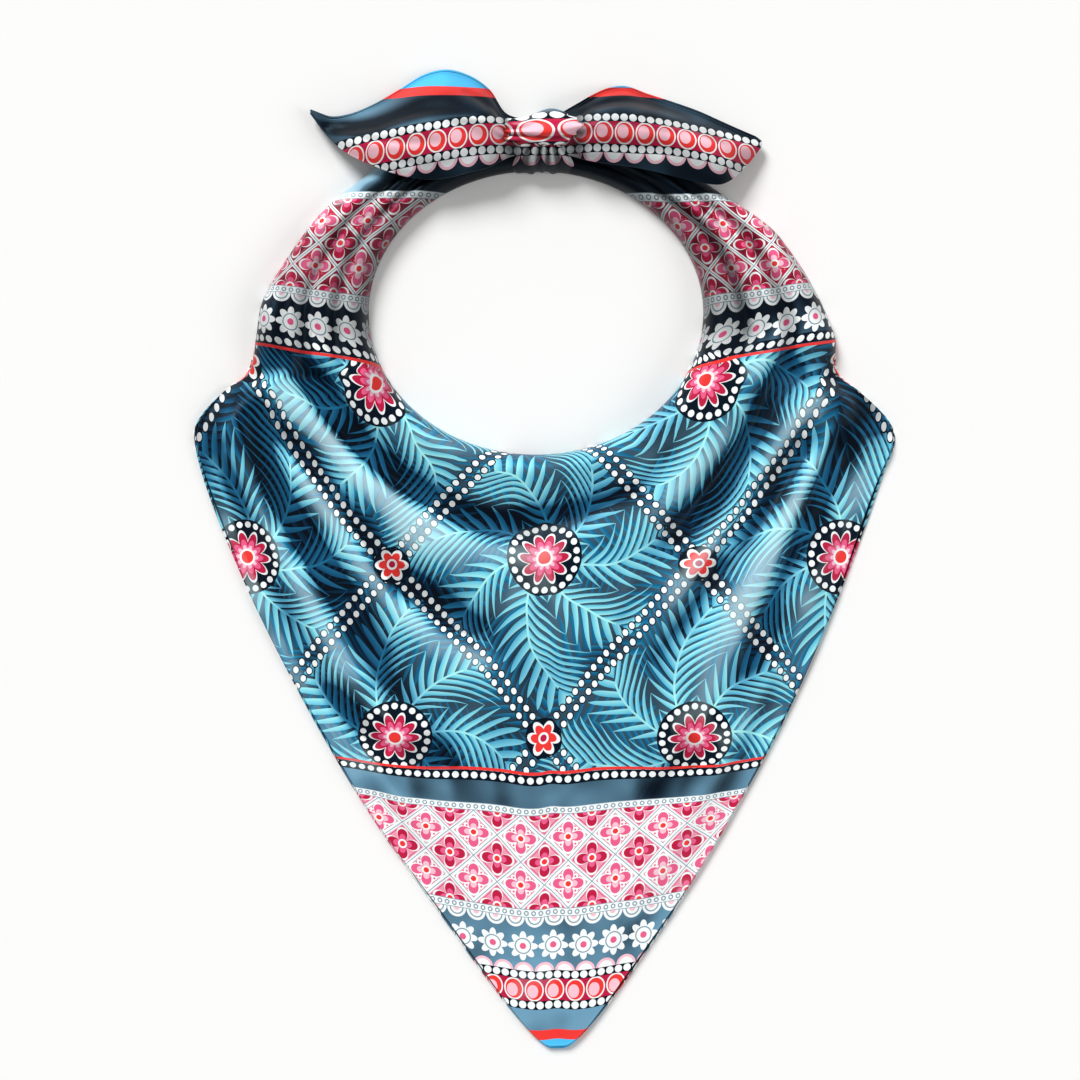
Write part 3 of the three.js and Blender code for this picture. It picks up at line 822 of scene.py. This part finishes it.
tieEnds = {
    "rows": 130, "across": 44, "ply": 0.4, "foldRadius": 0.75, "hemRadius": 0.65, "hemStep": 1.5,
    "printTop": 227.8, "clothShift": 400, "shade": 0.26, "knotShade": 0.75, "lean": 0.35,
    "pleats": 5, "pleatDepth": 1.1, "pleatReach": 26,
}
tailColumns = ["x", "lowY", "highY", "lowZ", "crownZ", "highZ"]
tails = {
    "left": {
        "rowDrop": 11, "rowCurve": 1.3, "raised": 0,
        "sections": [
            (-9.0, 189.0, 203.0, 12.0, 17.0, 12.0),
            (-17.8, 186.0, 206.0, 13.5, 19.5, 12.5), (-25.6, 181.9, 218.0, 14.2, 20.5, 7.0),
            (-35.0, 179.5, 225.0, 13.6, 20.0, 4.5), (-45.8, 176.9, 228.0, 13.6, 19.5, 3.6),
            (-56.2, 176.3, 225.8, 13.8, 19.0, 3.4), (-67.9, 178.4, 218.8, 14.0, 18.5, 3.6),
            (-79.7, 182.6, 211.8, 14.0, 17.0, 4.6), (-91.4, 188.5, 207.0, 11.0, 13.5, 5.0),
            (-100.8, 196.6, 206.0, 7.0, 8.5, 4.8), (-109.5, 208.0, 210.2, 5.0, 5.6, 5.0),
        ],
        "valleys": [
            ([(-108, 205), (-96, 201), (-80, 201), (-66, 205.5), (-52, 209), (-41, 208.5), (-31, 202)],
             4.4, 5.4),
            ([(-40, 219), (-29, 212), (-22, 203)], 1.6, 2.4),
            ([(-94, 196), (-76, 194), (-54, 193), (-30, 194)], 1.3, 3.2),
            ([(-72, 185), (-50, 183), (-26, 188)], 1.4, 2.8),
            ([(-18, 199), (-34, 201), (-54, 201)], 1.0, 2.4),
        ],
    },
    "right": {
        "rowDrop": 9, "rowCurve": 2.0, "raised": 0.8,
        "sections": [
            (8.0, 189.0, 206.5, 12.0, 17.0, 12.0),
            (16.6, 186.0, 211.6, 13.5, 19.5, 11.0), (22.0, 184.6, 215.2, 14.4, 20.5, 8.0),
            (30.0, 183.4, 219.2, 13.8, 20.0, 4.8), (38.0, 182.4, 220.2, 13.6, 19.5, 3.8),
            (48.0, 180.6, 216.8, 13.8, 19.0, 3.6), (60.0, 177.6, 212.8, 14.2, 18.5, 4.2),
            (72.0, 174.8, 208.4, 14.4, 17.5, 5.0), (83.0, 174.4, 203.4, 12.5, 15.0, 5.4),
            (93.0, 182.0, 199.0, 8.5, 10.0, 5.2), (101.5, 192.6, 195.4, 5.6, 6.0, 5.4),
        ],
        "valleys": [
            ([(18, 209), (30, 212), (44, 212.5), (60, 209), (74, 203)], 2.6, 2.8),
            ([(40, 205), (58, 202), (76, 197), (92, 190)], 1.6, 3.0),
            ([(18, 190), (36, 191), (56, 189), (74, 184)], 1.4, 3.0),
            ([(18, 200), (36, 201), (54, 199), (72, 194)], 1.0, 2.6),
        ],
    },
}


# The tie ends and the knot show the border that runs along the hem at their top. On the tie ends
# its rows drop towards the tip, but the hem's stripes don't.
def printedFromTop(points, rowDrop=0, rowCurve=1, raised=0):
    x, fromTop = points[..., 0], tieEnds["printTop"] + raised - points[..., 1]
    drop = rowDrop * np.clip((np.abs(x) - 18) / 78, 0, 2) ** rowCurve
    fromHem = np.maximum(fromTop - drop, np.minimum(fromTop, border["red"] + 1.5))
    return np.stack([x + tieEnds["clothShift"], border["hemLine"] + fromHem], -1)


def tieEnd(look):
    table = [dict(zip(tailColumns, line)) for line in look["sections"]]
    at = np.linspace(0, len(table) - 1, tieEnds["rows"])
    low = curveThrough([(r["x"], r["lowY"], r["lowZ"]) for r in table], at, centripetal=True)
    high = curveThrough([(r["x"], r["highY"], r["highZ"]) for r in table], at, centripetal=True)
    crown = curveThrough([(r["x"], 0, r["crownZ"]) for r in table], at, centripetal=True)[:, 2:]
    width = np.hypot(*(high - low)[:, :2].T)[:, None]
    way = (high - low)[:, :2] / width
    lowZ, highZ = low[:, 2:], high[:, 2:]
    fromKnot = np.abs(low[:, :1] - low[0, 0])

    def surface(across):
        f = np.clip(across / width, 0, 1)
        x = low[:, :1] + way[:, :1] * across
        y = low[:, 1:2] + way[:, 1:] * across
        arch = np.sin(math.pi * f)
        z = mix(lowZ, highZ, smooth((f - 0.5) / 0.5)) + (crown - mix(lowZ, highZ, 0.5)) * arch**0.8
        depth = troughs(look["valleys"], x, y, openStart=False, lean=tieEnds["lean"]) * arch
        wave = 0.5 + 0.5 * np.cos(f * tieEnds["pleats"] * 2 * math.pi)
        pleat = tieEnds["pleatDepth"] * bell(fromKnot / tieEnds["pleatReach"]) * wave * arch
        return x, y, z - depth - pleat, -depth - pleat

    # columns: upper hem, upper ply, fold along the low side, lower ply, lower hem
    radius = np.minimum(tieEnds["hemRadius"], 0.22 * width)
    beadIn, beadDrop = rolledHem(1)
    f = np.linspace(0, 1, tieEnds["across"])
    foldRadius = np.minimum(tieEnds["foldRadius"], 0.22 * width)
    phi = np.linspace(0, math.pi, 7)[1:-1]
    upperAcross = mix(width - radius * 1.6, foldRadius, f)
    upperHem = (width - radius * beadIn)[:, ::-1]
    lowerWidth = width + tieEnds["hemStep"] * smooth(width / 8)
    lowerAcross = mix(foldRadius, lowerWidth - radius * 1.6, f)
    lowerHem = lowerWidth - radius * beadIn
    x1, y1, z1, folds1 = surface(np.concatenate([upperHem, upperAcross], 1))
    beads = beadIn.size
    z1[:, :beads] = z1[:, beads:beads + 1] + 0.12 + (radius * beadDrop)[:, ::-1]
    foldAcross = foldRadius - foldRadius * np.sin(phi)
    x2, y2, _, folds2 = surface(foldAcross)
    z2 = z1[:, -1:] - foldRadius * (1 - np.cos(phi))
    x3, y3, z3, folds3 = surface(np.concatenate([lowerAcross, lowerHem], 1))
    z3 = z3 - 2 * foldRadius
    z3[:, -beads:] = z3[:, -beads - 1:-beads] - 0.02 - radius * beadDrop * 0.5
    points = np.stack([np.concatenate(parts, 1)
                       for parts in ((x1, x2, x3), (y1, y2, y3), (z1, z2, z3))], -1)
    cloth = printedFromTop(points, look["rowDrop"], look["rowCurve"], look["raised"])
    return points, cloth, np.concatenate([folds1, folds2, folds3], 1)


for side, look in tails.items():
    points, cloth, folds = tieEnd(look)
    shade = tieEnds["shade"] + tieEnds["knotShade"] * bell((np.abs(points[..., 0]) - 15) / 6)
    gridPiece(f"{side}_tie_end", [f"{side}_tail"], points, cloth, folds, tieEnds["ply"],
              flip=side == "right", shade=shade)


# The knot: a gathered roll of cloth across, with a turn drawn round it that fans out below

roll = {
    "x": 0.2, "halfLength": 19.6, "y": 198.7, "tilt": 1.2, "halfWidth": 8.2, "endWidth": 7.4, "rise": 2.4,
    "base": 9.5, "height": 13.4, "endHeight": 11.3, "pleats": 5, "pleatDepth": 0.8, "endRoll": 1.6,
    "rows": 120, "columns": 150, "ply": 0.45,
    "creases": [(1.05, -0.3, 0.9, 0.13), (2.0, 0.35, 0.7, 0.12)],  # where round it, lean, depth, width
    "printAcross": 0.5, "printAlong": 0.95, "printTurn": 0.07, "printAt": (0.6, 31.4), "shade": 0.02,
    "endShade": 0.7,
}
turned = {
    "x": -0.6, "y": 195.3, "height": 18.6, "reachDown": 15.2, "reachUp": 9.0, "halfWidth": 8.5,
    "footWidth": 14.4, "headWidth": 12, "earAt": 0.66, "ear": 6.0, "earWidth": 0.36, "notch": 0.07,
    "pleats": 5, "pleatDepth": 1.1, "rows": 130, "columns": 120, "ply": 0.45, "shade": 0.8,
}


# Uneven pleats: a wave whose crests bunch together and drift
def pleatWave(place, count, drift):
    return np.cos((place + 0.035 * np.sin(place * 9 + drift * 2.1) + 0.02 * drift) * count * 2 * math.pi)


def knotRoll():
    along = np.linspace(-1, 1, roll["rows"])[:, None]
    turn = np.radians(np.linspace(-38, 218, roll["columns"]))[None]
    waist = bell(along / 0.62)
    wide = mix(roll["endWidth"], roll["halfWidth"], waist) + 0.5 * np.sin(along * 5 + 1)
    tall = mix(roll["endHeight"], roll["height"], waist)
    pleat = 1 + pleatWave(turn / (2 * math.pi), roll["pleats"] * 2, along)
    pleat = pleat * (0.3 + 0.7 * np.abs(along))
    crease = sum(depth * bell((turn - at - lean * along) / width)
                 for at, lean, depth, width in roll["creases"])
    rim = roll["endRoll"] * (1 - quarterRound((1 - np.abs(along)) / 0.09))
    folds = -roll["pleatDepth"] * pleat - crease - rim
    x = roll["x"] + roll["halfLength"] * along + 0.7 * np.sin(turn * 2) * along
    rise = roll["rise"] * bell((along - 0.15) / 0.42) * np.maximum(-np.cos(turn), 0)
    y = roll["y"] + roll["tilt"] * along - (wide + folds) * np.cos(turn) + rise
    z = np.maximum(roll["ply"] + 0.08, roll["base"] + (tall + folds) * np.sin(turn))
    points = np.stack([x, y, z], -1)
    u, v = (x - roll["x"]) * roll["printAcross"], (y - roll["y"]) * roll["printAlong"]
    cloth = np.stack([u + v * roll["printTurn"] + tieEnds["clothShift"] + roll["printAt"][0],
                      border["hemLine"] + roll["printAt"][1] - v + u * roll["printTurn"]], -1)
    # Painted shade: the roll's ends are painted darker, and the folds given back are made stronger and
    # deeper at the ends
    shade = roll["shade"] + roll["endShade"] * smooth((np.abs(along) - 0.78) / 0.22) + 0 * turn
    return points, cloth, folds * 1.5 - 1.6 * smooth((np.abs(along) - 0.66) / 0.34), shade


def knotTurn():
    f = np.linspace(-1, 1, turned["columns"])[None]
    turn = np.linspace(0.015, 0.985, turned["rows"])[:, None] * math.pi
    down, up = np.maximum(np.cos(turn), 0), np.maximum(-np.cos(turn), 0)
    wide = turned["halfWidth"] + (turned["footWidth"] - turned["halfWidth"]) * smooth(down * 1.1) \
        + (turned["headWidth"] - turned["halfWidth"]) * smooth(up * 1.2)
    folds = -turned["pleatDepth"] * (1 + pleatWave((f + 1) / 2, turned["pleats"], np.cos(turn))) \
        * (1 - f**6) * (0.5 + 0.7 * down)
    side = 1 - 0.3 * np.abs(f) ** 3
    size = turned["height"] * side + folds
    ear = turned["ear"] * bell((f - turned["earAt"]) / turned["earWidth"]) * smooth(up * 1.6)
    x = turned["x"] + wide * f + 1.6 * up * (1 - f**2)
    foot = turned["reachDown"] * side**0.3 * (1 - turned["notch"] * bell(f / 0.3))
    y = turned["y"] - (foot * down - (turned["reachUp"] + ear) * up) - folds * 0.3 * np.cos(turn)
    z = np.maximum(turned["ply"] + 0.08, size * np.sin(turn) ** 0.8)
    points = np.stack([x, y, z], -1)
    # The folds given back set the painted light and shade, made stronger than the real ones
    return points, printedFromTop(points), folds * 1.6, turned["shade"]


for name, node, made, ply in (("knot_roll_cloth", "knot_heart", knotRoll(), roll["ply"]),
                              ("knot_turn_cloth", "knot_strap", knotTurn(), turned["ply"])):
    points, cloth, folds, shade = made
    gridPiece(name, [node], points, cloth, folds, ply,
              flip=node == "knot_strap", shade=shade)
# Camera, floor and light

studio = {"lens": 85, "sensor": 36, "height": 1.198, "x": -0.0021, "y": 0.0089, "floor": 40, "fill": 0.33}
lamps = {  # where it shines from, strength, softness in degrees
    "key_light": ((-1.1, 2.1, 1.9), 3.3, 24),
    "side_light": ((2.2, -0.6, 1.4), 0.9, 30),
}

camera = bpy.data.objects.new("camera", bpy.data.cameras.new("camera"))
camera.data.lens = studio["lens"]
camera.data.sensor_width = studio["sensor"]
camera.location = (studio["x"], studio["y"], studio["height"])
bpy.context.scene.collection.objects.link(camera)
bpy.context.scene.camera = camera

floorMesh = bpy.data.meshes.new("floor")
far = studio["floor"]
corners = [(-far, -far, 0), (far, -far, 0), (far, far, 0), (-far, far, 0)]
floorMesh.from_pydata(corners, [], [(0, 1, 2, 3)])
floor = bpy.data.objects.new("floor", floorMesh)
bpy.context.scene.collection.objects.link(floor)
floorPaint = bpy.data.materials.new("pale_floor")
floorPaint.use_nodes = True
floorShader = floorPaint.node_tree.nodes["Principled BSDF"]
floorShader.inputs["Base Color"].default_value = (0.86, 0.86, 0.85, 1)
floorShader.inputs["Roughness"].default_value = 0.9
floorMesh.materials.append(floorPaint)

for name, (place, strength, softness) in lamps.items():
    lamp = bpy.data.objects.new(name, bpy.data.lights.new(name, "SUN"))
    lamp.data.energy = strength
    lamp.data.angle = math.radians(softness)
    lamp.location = place
    lamp.rotation_euler = Vector(place).to_track_quat("Z", "Y").to_euler()
    bpy.context.scene.collection.objects.link(lamp)

world = bpy.data.worlds.new("studio")
world.use_nodes = True
backdrop = world.node_tree.nodes["Background"]
backdrop.inputs["Color"].default_value = (1, 1, 1, 1)
backdrop.inputs["Strength"].default_value = studio["fill"]
bpy.context.scene.world = world
bpy.context.scene.view_settings.view_transform = "Standard"
print("camera, floor and lights made")
